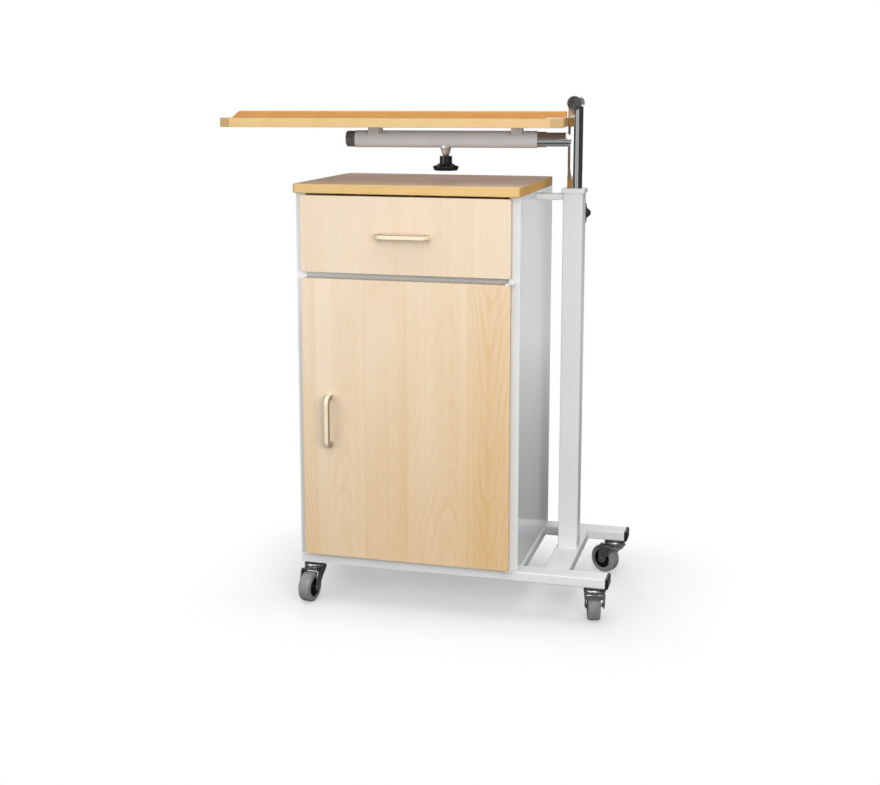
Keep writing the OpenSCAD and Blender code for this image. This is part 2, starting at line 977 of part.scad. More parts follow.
// Ringed plugs in both ends of the cross tube.
module tee_plugs() {
  color("black")
    on_post()
      on_tee()
        for (end = [0, 1])
          mirror([0, end, 0])
            translate([0, tee_l / 2, 0])
              rotate([-90, 0, 0])
                rotate_extrude() {
                  translate([0, -tee_r])
                    square([tee_r - post_wall - turn_fit, tee_r + over]);
                  difference() {
                    square([tee_r, plug_t]);
                    for (groove_d = [ring_d, eye_d])
                      translate([groove_d / 2, plug_t])
                        circle(plug_t / 4);
                    difference() {
                      translate([tee_r - plug_t / 2, plug_t / 2])
                        square(plug_t);
                      translate([tee_r - plug_t / 2, plug_t / 2])
                        circle(plug_t / 2);
                    }
                  }
                }
}

// Arm tube, its root hollowed to fit round the post.
module arm_tube() {
  color("silver")
    on_post()
      translate([0, 0, arm_z])
        difference() {
          rod_x(-arm_l, -post_r / 2, arm_r);
          rod_x(-arm_l - over, 0, arm_r - post_wall);
          translate([0, 0, -arm_d])
            cylinder(h = 2 * arm_d, r = post_r + turn_fit);
        }
}

// Ring that stops the sleeve at the post end.
module arm_ferrule() {
  color("silver")
    on_post()
      translate([0, 0, arm_z])
        difference() {
          rod_x(face_fit - sleeve_start, face_fit - sleeve_start + ferrule_l, ferrule_d / 2);
          rod_x(-arm_l, 0, arm_r + turn_fit);
        }
}

// Plug that closes the arm and stops the sleeve at the free end.
module arm_plug() {
  nose = arm_plug_l / 4;
  color("black")
    on_post()
      translate([-arm_l, 0, arm_z])
        rotate([0, -90, 0])
          rotate_extrude() {
            translate([0, -arm_r])
              square([arm_r - post_wall - turn_fit, arm_r + over]);
            square([arm_plug_d / 2, arm_plug_l - nose]);
            square([arm_plug_d / 2 - nose, arm_plug_l]);
            translate([arm_plug_d / 2 - nose, arm_plug_l - nose])
              circle(nose);
          }
}

// Sleeve that turns on the arm, with the clamp screw's hole underneath.
module tray_sleeve() {
  color("lightgray")
    on_table()
      difference() {
        rod_x(face_fit - arm_l, -sleeve_start, sleeve_r);
        rod_x(-arm_l, 0, arm_r + turn_fit);
        translate([-sleeve_mid, 0, -sleeve_d])
          cylinder(h = sleeve_d, r = stud_r + turn_fit);
      }
}

// Blocks between sleeve and table board.
module tray_saddles() {
  color("gainsboro")
    on_table()
      difference() {
        for (x = [-arm_l + saddle_in, -sleeve_start - saddle_in])
          translate([x - saddle_w / 2, -saddle_d / 2, sleeve_r / 2])
            cube([saddle_w, saddle_d, sleeve_r / 2 + saddle_rise]);
        rod_x(-arm_l, 0, sleeve_r + turn_fit);
      }
}

// Rebate in the board's front edge for a ledge between two stations.
module ledge_rebate(x0, x1) {
  translate([x0 - turn_fit, -half_w - over, ledge_z0])
    cube([x1 - x0 + 2 * turn_fit, ledge_t + over + turn_fit, ledge_seat + over]);
}

// Table board with cut front corners and a rebate along each long edge.
module tray_board() {
  x0 = -tray_far;
  x1 = -tray_near;
  cut = tray_corner;
  color("burlywood")
    on_table()
      difference() {
        translate([0, 0, tray_z0])
          linear_extrude(tray_t)
            polygon([
              [x0 + cut, -half_w], [x1 - cut, -half_w], [x1, cut - half_w],
              [x1, half_w], [x0, half_w], [x0, cut - half_w]
            ]);
        ledge_rebate(ledge_x0, ledge_x1);
        mirror([0, 1, 0])
          ledge_rebate(rear_ledge_x0, rear_ledge_x1);
      }
}

// Bevelled ledge section between two stations, let into the board's front edge.
module ledge_bar(x0, x1) {
  translate([x0, -half_w, ledge_z0])
    rotate([90, 0, 90])
      linear_extrude(x1 - x0)
        polygon([
          [0, 0], [ledge_t, 0], [ledge_t, ledge_top - edge_bevel],
          [ledge_t - edge_bevel, ledge_top], [edge_bevel, ledge_top], [0, ledge_top - edge_bevel]
        ]);
}

// Stop ledge along the table's front edge, its ends cut at 45 degrees above the board.
module tray_ledge() {
  color("peru")
    on_table()
      intersection() {
        translate([0, ledge_t - half_w, ledge_z0])
          rotate([90, 0, 0])
            linear_extrude(ledge_t)
              polygon([
                [ledge_x0, 0], [ledge_x1, 0], [ledge_x1, ledge_seat],
                [ledge_x1 - ledge_h, ledge_top], [ledge_x0 + ledge_h, ledge_top], [ledge_x0, ledge_seat]
              ]);
        ledge_bar(ledge_x0, ledge_x1);
      }
}

// Ledge along the table's rear edge, square at both ends.
module tray_rear_ledge() {
  color("peru")
    on_table()
      mirror([0, 1, 0])
        ledge_bar(rear_ledge_x0, rear_ledge_x1);
}

// Threaded cone under the sleeve for the tilt clamp.
module knob_cone() {
  color("silver")
    on_table()
      translate([-sleeve_mid, 0, 0])
        difference() {
          translate([0, 0, cone_z0]) {
            cylinder(h = cone_h, d1 = cone_tip_d, d2 = cone_d);
            translate([0, 0, cone_h])
              cylinder(h = sleeve_r / 2, d = cone_d);
          }
          translate([0, 0, cone_z0 - over])
            cylinder(h = sleeve_d, r = stud_r + turn_fit);
          rod_x(-cone_d, cone_d, sleeve_r + turn_fit);
        }
}

// Star grip flaring from its neck, along Z, neck face on the plane Z = 0 and grip below.
module star_knob() {
  foot_z = -neck_h - knob_h;
  difference() {
    union() {
      translate([0, 0, -neck_h - over])
        cylinder(h = neck_h + over, d = neck_d);
      intersection() {
        translate([0, 0, foot_z])
          linear_extrude(knob_h)
            difference() {
              circle(knob_r + over);
              for (i = [0 : knob_lobes - 1])
                rotate([0, 0, (i + 0.5) * 360 / knob_lobes])
                  translate([knob_r + lobe_cut_r / 3, 0])
                    circle(lobe_cut_r);
            }
        rotate_extrude()
          polygon([
            [0, foot_z], [knob_foot_d / 2, foot_z], [knob_r, foot_z + knob_rim],
            [neck_d / 2, -neck_h], [0, -neck_h]
          ]);
      }
    }
    translate([0, 0, -neck_h])
      cylinder(h = neck_h + over, r = stud_r + turn_fit);
  }
}

module tray_knob() {
  color("black")
    on_table()
      translate([-sleeve_mid, 0, cone_z0 - face_fit])
        star_knob();
}

module tray_knob_stud() {
  stud_z0 = cone_z0 - face_fit - neck_h;
  color("silver")
    on_table()
      translate([-sleeve_mid, 0, stud_z0])
        cylinder(h = -arm_r - face_fit - stud_z0, r = stud_r);
}

module column_knob() {
  color("black")
    place()
      translate([column_x, column_y + column_w / 2 + boss_l + face_fit, clamp_z])
        rotate([90, 0, 0])
          star_knob();
}

module column_knob_stud() {
  color("silver")
    place()
      translate([column_x, column_y, clamp_z])
        rod_y(post_r + face_fit, column_w / 2 + boss_l + face_fit + neck_h, stud_r);
}

front_rail();
rear_rail();
column_crossbar();
side_crossbar();
rail_end_caps();
castor_heads();
side_panel_left();
side_panel_right();
bottom_panel();
back_panel();
divider_panel();
top_board();
runner_fixed_left();
runner_fixed_right();
door_pivot_upper();
door_pivot_lower();
column();
column_collar();
column_stay();
clamp_boss();
drawer_front();
drawer_side_left();
drawer_side_right();
drawer_back();
drawer_bottom();
drawer_handle();
runner_moving_left();
runner_moving_right();
door_panel();
door_handle();
post_glide();
post_tube();
post_tee();
tee_plugs();
arm_tube();
arm_ferrule();
arm_plug();
tray_sleeve();
tray_saddles();
tray_board();
tray_ledge();
tray_rear_ledge();
knob_cone();
tray_knob();
tray_knob_stud();
column_knob();
column_knob_stud();
castor_fork(0, 0);  // castor_fork_fl
castor_tyre(0, 0);  // castor_tyre_fl
castor_hub(0, 0);  // castor_hub_fl
castor_fork(1, 0);  // castor_fork_fr
castor_tyre(1, 0);  // castor_tyre_fr
castor_hub(1, 0);  // castor_hub_fr
castor_fork(0, 1);  // castor_fork_rl
castor_tyre(0, 1);  // castor_tyre_rl
castor_hub(0, 1);  // castor_hub_rl
castor_fork(1, 1);  // castor_fork_rr
castor_tyre(1, 1);  // castor_tyre_rr
castor_hub(1, 1);  // castor_hub_rr
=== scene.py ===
import json
import math

import bpy
from mathutils import Euler, Matrix, Vector


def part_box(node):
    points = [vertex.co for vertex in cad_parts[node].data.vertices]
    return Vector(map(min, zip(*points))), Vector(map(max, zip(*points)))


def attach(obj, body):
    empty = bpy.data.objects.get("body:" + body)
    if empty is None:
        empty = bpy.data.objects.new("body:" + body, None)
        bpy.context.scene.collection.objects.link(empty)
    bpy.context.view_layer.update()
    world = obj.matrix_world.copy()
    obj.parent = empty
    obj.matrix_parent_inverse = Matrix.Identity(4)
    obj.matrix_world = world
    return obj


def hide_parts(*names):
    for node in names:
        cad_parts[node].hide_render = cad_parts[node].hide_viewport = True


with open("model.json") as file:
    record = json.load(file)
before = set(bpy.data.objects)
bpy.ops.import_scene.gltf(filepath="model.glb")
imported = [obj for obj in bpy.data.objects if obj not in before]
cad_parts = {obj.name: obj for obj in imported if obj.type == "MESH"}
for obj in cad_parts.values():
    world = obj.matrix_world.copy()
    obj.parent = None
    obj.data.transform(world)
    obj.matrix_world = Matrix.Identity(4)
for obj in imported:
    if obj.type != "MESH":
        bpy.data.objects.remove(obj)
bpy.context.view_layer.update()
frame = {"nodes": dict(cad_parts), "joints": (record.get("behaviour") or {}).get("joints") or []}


# Base frame: two long rectangular steel tubes tied by two cross tubes, cut, welded and powder-coated white.
# The tube is rolled, so its long edges are round. The left ends are closed and rounded underneath, and the
# right ends stay open for their caps.
class Shade:
    """A socket of a material. Sums written with it add Math nodes."""

    def __init__(self, tree, socket):
        self.tree = tree
        self.socket = socket

    def node(self, kind, settings=None, inputs=None, output=0):
        made = self.tree.nodes.new(kind)
        for name, setting in (settings or {}).items():
            setattr(made, name, setting)
        for name, value in (inputs or {}).items():
            if isinstance(value, Shade):
                self.tree.links.new(value.socket, made.inputs[name])
            else:
                made.inputs[name].default_value = value
        return Shade(self.tree, made.outputs[output])

    def math(self, operation, first, second=0.0):
        return self.node("ShaderNodeMath", {"operation": operation}, {0: first, 1: second})

    def __add__(self, other):
        return self.math("ADD", self, other)

    def __sub__(self, other):
        return self.math("SUBTRACT", self, other)

    def __mul__(self, other):
        return self.math("MULTIPLY", self, other)

    def __radd__(self, other):
        return self.math("ADD", other, self)

    def __rsub__(self, other):
        return self.math("SUBTRACT", other, self)

    def __rmul__(self, other):
        return self.math("MULTIPLY", other, self)

    def between(self, low, high):
        """Runs from 0 to 1 while the value runs from low to high."""
        return self.node("ShaderNodeMapRange", {}, {"Value": self, "From Min": low, "From Max": high})

    def noise(self, scale, detail=2.0, stretch=(1, 1, 1)):
        """Noise over a place, so many lumps to the metre, stretched along the axes."""
        spread = self.node("ShaderNodeMapping", {}, {"Vector": self, "Scale": stretch})
        return self.node("ShaderNodeTexNoise", {}, {"Vector": spread, "Scale": scale, "Detail": detail})

    def mix(self, first, second):
        """A colour between two, with this value as the share of the second."""
        pair = {0: self, 6: first, 7: second}
        pair = {key: (*value, 1) if isinstance(value, tuple) else value for key, value in pair.items()}
        return self.node("ShaderNodeMix", {"data_type": "RGBA"}, pair, 2)

    def bump(self, strength, distance):
        return self.node("ShaderNodeBump", {}, {"Strength": strength, "Distance": distance, "Height": self})

    def into(self, shader, name):
        self.tree.links.new(self.socket, shader.inputs[name])


def new_finish(name):
    """A new material, its shader and the place on the piece."""
    finish = bpy.data.materials.new(name)
    finish.use_nodes = True
    tree = finish.node_tree
    place = Shade(tree, tree.nodes.new("ShaderNodeTexCoord").outputs["Object"])
    return finish, tree.nodes["Principled BSDF"], place


def powder_coat(name, pale, dull):
    finish, shader, place = new_finish(name)
    cloud = place.noise(7, 3)
    cloud.mix(dull, pale).into(shader, "Base Color")
    (0.27 + 0.14 * place.noise(35, 3)).into(shader, "Roughness")
    place.noise(700, 1).bump(0.12, 0.0003).into(shader, "Normal")
    return finish


def select_only(piece):
    bpy.ops.object.select_all(action="DESELECT")
    piece.select_set(True)
    bpy.context.view_layer.objects.active = piece


def settle(piece):
    """Writes a piece's place, turn and scale into its mesh."""
    select_only(piece)
    bpy.ops.object.transform_apply(location=True, rotation=True, scale=True)


def apply_modifier(piece, kind, **settings):
    select_only(piece)
    modifier = piece.modifiers.new(kind.lower(), kind)
    for name, setting in settings.items():
        setattr(modifier, name, setting)
    bpy.ops.object.modifier_apply(modifier=modifier.name)


def start_block(name, low, high):
    """A block between two corners, as a new piece."""
    bpy.ops.object.select_all(action="DESELECT")
    bpy.ops.mesh.primitive_cube_add(size=1, location=(low + high) / 2)
    piece = bpy.context.object
    piece.name = name
    piece.scale = high - low
    settle(piece)
    return piece


def pick(piece, kind, test):
    """Opens edit mode with those faces or edges selected that pass a test on their place."""
    bpy.context.view_layer.objects.active = piece
    bpy.ops.object.mode_set(mode="EDIT")
    bpy.ops.mesh.select_mode(type=kind)
    bpy.ops.mesh.select_all(action="DESELECT")
    bpy.ops.object.mode_set(mode="OBJECT")
    if kind == "FACE":
        for face in piece.data.polygons:
            face.select = bool(test(face.center, face.normal))
    else:
        spots = [vertex.co for vertex in piece.data.vertices]
        for edge in piece.data.edges:
            ends = [spots[index] for index in edge.vertices]
            edge.select = bool(test((ends[0] + ends[1]) / 2, (ends[1] - ends[0]).normalized()))
    bpy.ops.object.mode_set(mode="EDIT")


def round_edges(piece, radius, segments, test):
    pick(piece, "EDGE", test)
    bpy.ops.mesh.bevel(offset=radius, segments=segments, affect="EDGES")
    bpy.ops.object.mode_set(mode="OBJECT")


sharp_angle = math.radians(35)


def fit(piece, body, slot, finish, *nodes):
    """Gives a finished piece its material and body, in place of the nodes it stands for. The slot is not used."""
    select_only(piece)
    bpy.ops.object.shade_smooth_by_angle(angle=sharp_angle)
    apply_modifier(piece, "WEIGHTED_NORMAL", keep_sharp=True)
    if not piece.data.materials:
        piece.data.materials.append(finish)
    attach(piece, body)
    if nodes:
        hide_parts(*nodes)


def along(axis):
    """A test for edges that run along an axis."""
    return lambda spot, line: abs(line[axis]) > 0.99


def hollow(piece, wall, test):
    """Opens the faces that pass a test and gives the rest a wall inwards."""
    pick(piece, "FACE", test)
    bpy.ops.mesh.delete(type="FACE")
    bpy.ops.object.mode_set(mode="OBJECT")
    apply_modifier(piece, "SOLIDIFY", thickness=wall, offset=-1)


white_coat = powder_coat("white_powder_coat", (0.77, 0.78, 0.78), (0.71, 0.72, 0.72))
tube_wall = 0.002
tube_round = 0.0025
rail_end_round = 0.004
for name in ("front_rail", "rear_rail"):
    low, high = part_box(name)
    rail = start_block(name + "_tube", low, high)
    foot = Vector((low.x, 0, low.z))
    round_edges(rail, rail_end_round, 4, lambda spot, line: (Vector((spot.x, 0, spot.z)) - foot).length < 1e-4)
    round_edges(rail, tube_round, 3, along(0))
    hollow(rail, tube_wall, lambda spot, normal: normal.x > 0.99)
    fit(rail, "cabinet", "white_metal", white_coat, name)
for name in ("column_crossbar", "side_crossbar"):
    low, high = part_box(name)
    bar = start_block(name + "_tube", low, high)
    round_edges(bar, tube_round, 3, along(1))
    hollow(bar, tube_wall, lambda spot, normal: abs(normal.y) > 0.99)
    fit(bar, "cabinet", "white_metal", white_coat, name)


# Rail end caps: black plastic plugs with a rounded flange, knocked into the open right ends of the rails.
# The moulding has a fine spark-eroded grain and picks up a few paler rubs.
def black_moulding(name, tone):
    finish, shader, place = new_finish(name)
    rub = place.noise(60, 4).between(0.55, 0.75)
    rub.mix((tone, tone, tone * 1.1), (tone * 2, tone * 2, tone * 2.1)).into(shader, "Base Color")
    (0.24 + 0.16 * rub).into(shader, "Roughness")
    shader.inputs["Specular IOR Level"].default_value = 0.35
    place.noise(1400, 1).bump(0.2, 0.0002).into(shader, "Normal")
    return finish


def join(*pieces):
    """Makes several pieces one."""
    bpy.ops.object.select_all(action="DESELECT")
    for piece in pieces:
        piece.select_set(True)
    bpy.context.view_layer.objects.active = pieces[0]
    bpy.ops.object.join()
    return pieces[0]


def dress(finish, *names):
    """Gives CAD nodes that keep their shape a material."""
    for name in names:
        for slot in frame["nodes"][name].material_slots:
            slot.material = finish


black_plastic = black_moulding("black_moulded_plastic", 0.012)
cap_flange = 0.0065
cap_round = 0.003
plug_in = 0.014
plug_play = 0.0003
caps = []
for name in ("front_rail", "rear_rail"):
    low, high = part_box(name)
    flange = start_block(name + "_cap", Vector((high.x, low.y, low.z)), Vector((high.x + cap_flange, high.y, high.z)))
    round_edges(flange, cap_round, 4, lambda spot, line: spot.x > high.x + cap_flange - 1e-5)
    pick(flange, "FACE", lambda spot, normal: normal.x < -0.99)
    bpy.ops.mesh.inset(thickness=tube_wall + plug_play)
    bpy.ops.mesh.extrude_region_move(TRANSFORM_OT_translate={"value": (-plug_in, 0, 0)})
    bpy.ops.object.mode_set(mode="OBJECT")
    caps.append(flange)
rail_caps = join(*caps)
rail_caps.name = "rail_caps"
fit(rail_caps, "cabinet", "black_plastic", black_plastic, "rail_end_caps")


# Castors: pressed and zinc-plated steel forks that swivel on a king pin under the rails.
# Each fork is a rolled bowl and a crown with two tapering legs and a short skirt between them. A riveted
# axle carries the wheel.
def zinc_plate():
    finish, shader, place = new_finish("bright_zinc")
    cloud = place.noise(90, 3)
    cloud.mix((0.36, 0.365, 0.37), (0.52, 0.525, 0.53)).into(shader, "Base Color")
    shader.inputs["Metallic"].default_value = 1.0
    (0.10 + 0.16 * place.noise(160, 3)).into(shader, "Roughness")
    return finish


def start_round(name, place, radius, depth, sides=48, turn=(0, 0, 0)):
    """A round bar of some depth about a place, as a new piece."""
    bpy.ops.object.select_all(action="DESELECT")
    bpy.ops.mesh.primitive_cylinder_add(vertices=sides, radius=radius, depth=depth, location=place, rotation=turn)
    piece = bpy.context.object
    piece.name = name
    settle(piece)
    return piece


def copy_to(piece, name, place, turn):
    """A copy of a piece, with its own mesh, turned about Z and moved to its place."""
    select_only(piece)
    bpy.ops.object.duplicate()
    copy = bpy.context.object
    copy.name = name
    copy.location = place
    copy.rotation_euler = (0, 0, turn)
    settle(copy)
    return copy


def drop(piece):
    """Takes away a piece that was only modelled to be copied."""
    select_only(piece)
    bpy.ops.object.delete()


zinc = zinc_plate()
castor_ends = ("fl", "fr", "rl", "rr")
dress(zinc, "castor_heads")
joint_at = {joint["name"]: Vector(joint["pos_m"]) for joint in frame["joints"]}
joint_axis = {joint["name"]: Vector(joint["axis"]) for joint in frame["joints"]}
trail = (joint_at["wheel_spin_fl"] - joint_at["castor_swivel_fl"]).to_2d().length
axle_z = joint_at["wheel_spin_fl"].z
bowl_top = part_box("castor_fork_fl")[1].z
bowl_h = 0.009
bowl_r = 0.022
fork_sheet = 0.0025
foot_half = 0.016
crown_half = 0.021
leg_end = 0.0075
crown_back = -0.0195
crown_top = bowl_top - bowl_h
skirt_z = crown_top - 0.015
bowl_shoulder = 0.0035
bowl_foot = 0.0025
race_rim = 0.002
race_sink = 0.001
crown_round = 0.006
fork_burr = 0.0005
axle_half = 0.017
axle_r = 0.003
rivet_r = 0.0052
rivet_h = 0.002
rivet_round = 0.0012
nut_r = 0.0055
nut_h = 0.0024
nut_ease = 0.0006
across_fork = (math.radians(90), 0, 0)

bowl = start_round("fork_bowl", (0, 0, bowl_top - bowl_h / 2), bowl_r, bowl_h)
round_edges(bowl, bowl_shoulder, 4, lambda spot, line: abs(line.z) < 0.5 and spot.z > crown_top + bowl_h / 2)
round_edges(bowl, bowl_foot, 3, lambda spot, line: abs(line.z) < 0.5 and spot.z < crown_top + 1e-5)
pick(bowl, "FACE", lambda spot, normal: normal.z > 0.99)
bpy.ops.mesh.inset(thickness=race_rim)
bpy.ops.mesh.extrude_region_move(TRANSFORM_OT_translate={"value": (0, 0, -race_sink)})
bpy.ops.object.mode_set(mode="OBJECT")

strap = start_block("fork_strap", Vector((crown_back, -crown_half, axle_z - leg_end)),
                    Vector((trail, crown_half, crown_top)))
for end_x, foot_x in ((crown_back, trail - leg_end), (trail, trail + leg_end)):
    pick(strap, "EDGE", lambda spot, line: abs(line.y) > 0.9 and spot.z < axle_z and abs(spot.x - end_x) < 1e-5)
    bpy.ops.transform.translate(value=(foot_x - end_x, 0, 0))
    bpy.ops.object.mode_set(mode="OBJECT")
for side in (-1, 1):
    pick(strap, "EDGE", lambda spot, line: spot.z < axle_z and spot.y * side > 0 and abs(line.z) < 0.5)
    bpy.ops.transform.translate(value=(0, side * (foot_half - crown_half), 0))
    bpy.ops.object.mode_set(mode="OBJECT")
pick(strap, "FACE", lambda spot, normal: normal.x < -0.5)
bpy.ops.mesh.bisect(plane_co=(0, 0, skirt_z), plane_no=(0, 0, 1))
bpy.ops.object.mode_set(mode="OBJECT")
pick(strap, "FACE", lambda spot, normal: abs(normal.y) < 0.5 and normal.z < 0.9 and spot.z < skirt_z)
bpy.ops.mesh.delete(type="FACE")
bpy.ops.object.mode_set(mode="OBJECT")
round_edges(strap, crown_round, 5, lambda spot, line: spot.z > skirt_z and spot.x < trail - 1e-4)
pick(strap, "EDGE", lambda spot, line: spot.z < axle_z - leg_end + 1e-5)
bpy.ops.mesh.bevel(offset=leg_end * 0.98, segments=6, affect="VERTICES")
bpy.ops.object.mode_set(mode="OBJECT")
apply_modifier(strap, "SOLIDIFY", thickness=fork_sheet, offset=-1)
apply_modifier(strap, "BEVEL", width=fork_burr, segments=2)

axle = start_round("fork_axle", (trail, 0, axle_z), axle_r, 2 * axle_half, 24, across_fork)
rivet = start_round("fork_rivet", (trail, -axle_half, axle_z), rivet_r, rivet_h, 32, across_fork)
round_edges(rivet, rivet_round, 3, lambda spot, line: abs(line.y) < 0.5 and spot.y < -axle_half)
nut = start_round("fork_nut", (trail, axle_half, axle_z), nut_r, nut_h, 6, across_fork)
round_edges(nut, nut_ease, 2, lambda spot, line: True)
fork = join(strap, bowl, axle, rivet, nut)
for end in castor_ends:
    swivel = joint_at["castor_swivel_" + end]
    heading = (joint_at["wheel_spin_" + end] - swivel).to_2d()
    turned = copy_to(fork, f"castor_{end}_fork", (swivel.x, swivel.y, 0), math.atan2(heading.y, heading.x))
    fit(turned, "castor_" + end, "zinc_fork", zinc, "castor_fork_" + end)
drop(fork)


# Castor wheels: grey non-marking rubber tyres on dark plastic centres.
# The tread is matt and a little dirty where it rolls.
def grey_rubber():
    finish, shader, place = new_finish("grey_rubber")
    dirt = place.noise(70, 4).between(0.35, 0.7)
    dirt.mix((0.20, 0.20, 0.20), (0.31, 0.31, 0.31)).into(shader, "Base Color")
    (0.55 + 0.2 * dirt).into(shader, "Roughness")
    place.noise(500, 2).bump(0.15, 0.0003).into(shader, "Normal")
    return finish


rubber = grey_rubber()
for end in castor_ends:
    dress(rubber, "castor_tyre_" + end)
    dress(black_plastic, "castor_hub_" + end)


# Carcass: chipboard sides, bottom, back and divider faced in gloss white, glued and dowelled.
# The edges are banded and slightly eased, and the divider between drawer and door is grey all over as painted shade
# for its recess.
def white_gloss(name, tone):
    finish, shader, place = new_finish(name)
    cloud = place.noise(3, 2)
    cloud.mix((tone - 0.05, tone - 0.04, tone - 0.03), (tone, tone + 0.01, tone + 0.02)).into(shader, "Base Color")
    (0.06 + 0.08 * place.noise(12, 4)).into(shader, "Roughness")
    place.noise(180, 2).bump(0.02, 0.0003).into(shader, "Normal")
    return finish


gloss_board = white_gloss("white_gloss_board", 0.81)
# The divider's grey is painted shade for the recess between drawer and door.
divider_shade_board = white_gloss("painted_shade_divider_board", 0.56)
edge_ease = 0.0008
for name in ("side_panel_left", "side_panel_right", "bottom_panel", "back_panel", "divider_panel"):
    low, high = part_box(name)
    panel = start_block(name + "_board", low, high)
    round_edges(panel, edge_ease, 2, lambda spot, line: True)
    fit(panel, "cabinet", "white_panel", divider_shade_board if name == "divider_panel" else gloss_board, name)


# Boards in maple decor: chipboard with a printed laminate that shows veneer leaves side by side.
# Some leaves carry nested arches of growth rings, the others run straight. Fine fibres, short dark flecks
# and a rare small knot lie along the grain.
def maple(name, turn, pale, deep, level=-0.36, start=(0, 0, 0), fade=(0, 0, 0), dull=0.38, gloss=0.5, leaf=0.1):
    """Maple laid along a direction. The level deepens it all over, fade deepens it steadily along a way and paints
    shade on the door and the top, start shifts it.
    """
    finish, shader, place = new_finish(name)
    shader.inputs["Specular IOR Level"].default_value = gloss
    grain = place.node("ShaderNodeMapping", {}, {"Vector": place, "Rotation": turn, "Location": start})
    across = grain.node("ShaderNodeSeparateXYZ", {}, {"Vector": grain})
    lengthwise = Shade(across.tree, across.socket.node.outputs[2])
    sheet = across * (1 / leaf) + 1.1 * grain.noise(9, 1, (1, 0, 0))
    number = sheet.math("FLOOR", sheet)
    seed = sheet.node("ShaderNodeTexWhiteNoise", {"noise_dimensions": "1D"}, {"W": number})
    mood = sheet.node("ShaderNodeTexWhiteNoise", {"noise_dimensions": "1D"}, {"W": number + 31.7})
    heart = sheet - number - (0.35 + 0.3 * seed)
    upwards = 2 * mood.math("GREATER_THAN", mood, 0.45) - 1
    sway = grain.noise(4, 2, (1, 1, 0.6))
    wander = grain.noise(30, 3, (1, 1, 0.2))
    rings_to_metre, arch_height, leaf_shift = 13, 20, 17
    ring = (upwards * lengthwise * rings_to_metre - heart * heart * arch_height + leaf_shift * seed
            + 5 * sway + 1.4 * wander)
    ring = ring.math("FRACT", ring)
    line = ring * ring * (1 - ring.between(0.86, 1))
    arched = grain.noise(6, 2, (1, 1, 0.4)).between(0.36, 0.66)
    flame = grain.noise(13, 4, (1, 1, 0.16))
    streak = grain.noise(85, 3, (1, 1, 0.012))
    fibre = grain.noise(560, 2, (1, 1, 0.03))
    fleck = grain.noise(640, 1, (1, 1, 0.1)).between(0.68, 0.8)
    cell = {"Vector": grain.node("ShaderNodeMapping", {}, {"Vector": grain, "Scale": (1, 1, 0.55)}), "Scale": 3.6}
    knot = 1 - grain.node("ShaderNodeTexVoronoi", {}, cell).between(0.012, 0.036)
    painted_shade_fade = place.node("ShaderNodeVectorMath", {"operation": "DOT_PRODUCT"}, {0: place, 1: fade}, 1)
    depth = (0.38 * line * arched + 0.58 * flame + 0.36 * streak + 0.2 * fibre + 0.4 * mood + 0.3 * fleck
             + 0.6 * knot + painted_shade_fade + level)
    depth.mix(pale, deep).into(shader, "Base Color")
    (dull + 0.14 * fibre).into(shader, "Roughness")
    (fibre + fleck * 0.5).bump(0.04, 0.0002).into(shader, "Normal")
    return finish


upright = (0, 0, 0)
lying = (math.radians(90), math.radians(90), 0)
# The door's fade darkens it towards its right and its bottom: painted shade for light falling off from the upper
# left.
door_maple = maple("maple_door", upright, (0.86, 0.72, 0.55), (0.70, 0.45, 0.20), -0.06,
                   start=(0.63, 0, 0), fade=(0.6, 0, -0.6))
# The drawer's fade darkens it towards the right.
drawer_maple = maple("maple_drawer", upright, (0.83, 0.70, 0.54), (0.72, 0.50, 0.27), -0.5,
                     start=(0.31, 0, 0.4), fade=(0.5, 0, 0))
# The top's fade darkens it towards the back: painted shade of the table above it.
top_maple = maple("maple_top", lying, (0.94, 0.71, 0.50), (0.60, 0.40, 0.28),
                  fade=(0, 2.6, 0), dull=0.45, gloss=0.25)
edge_maple = maple("maple_edge", lying, (0.83, 0.59, 0.27), (0.68, 0.42, 0.14), dull=0.5)
# The ends take a more orange copy of the edge band: painted shade.
shaded_end_maple = maple("maple_end", lying, (0.98, 0.57, 0.15), (0.82, 0.42, 0.07), dull=0.5)


def band(piece, face, edge, end):
    """Gives a board its face decor, the band on its long edges, and on its ends a more orange copy of the band that
    is painted shade.
    """
    for decor in (face, edge, end):
        piece.data.materials.append(decor)
    for polygon in piece.data.polygons:
        normal = polygon.normal
        polygon.material_index = 0 if abs(normal.z) > 0.9 else 1 if abs(normal.x) < 0.8 else 2


top_corner = 0.008
top_ease = 0.0015
low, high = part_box("top_board")
top = start_block("top_board_panel", low, high)
round_edges(top, top_corner, 6, along(2))
round_edges(top, top_ease, 3, lambda spot, line: abs(line.z) < 0.5)
band(top, top_maple, edge_maple, shaded_end_maple)
fit(top, "cabinet", "maple_board", top_maple, "top_board")


# Drawer and door: the same boards hung upright, their corners rounded and their edges eased.
# The door turns on two pins, and its hinge edge is rounded behind so that it clears the carcass.
front_corner = 0.005
front_ease = 0.001
hinge_round = 0.0085
low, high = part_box("drawer_front")
drawer_face = start_block("drawer_face", low, high)
round_edges(drawer_face, front_corner, 4, along(1))
round_edges(drawer_face, front_ease, 2, lambda spot, line: abs(line.y) < 0.5)
fit(drawer_face, "drawer", "maple_board", drawer_maple, "drawer_front")

low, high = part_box("door_panel")
door_face = start_block("door_face", low, high)
hinge_edge = Vector((high.x, high.y, 0))
round_edges(door_face, hinge_round, 6,
            lambda spot, line: (Vector((spot.x, spot.y, 0)) - hinge_edge).length < 1e-4)
front_ends = {low.z, high.z}
round_edges(door_face, front_corner, 4,
            lambda spot, line: abs(line.y) > 0.99 and min(abs(spot.z - end) for end in front_ends) < 1e-4)
round_edges(door_face, front_ease, 2, lambda spot, line: abs(line.y) < 0.5 and spot.y < low.y + 1e-4)
fit(door_face, "door", "maple_board", door_maple, "door_panel")


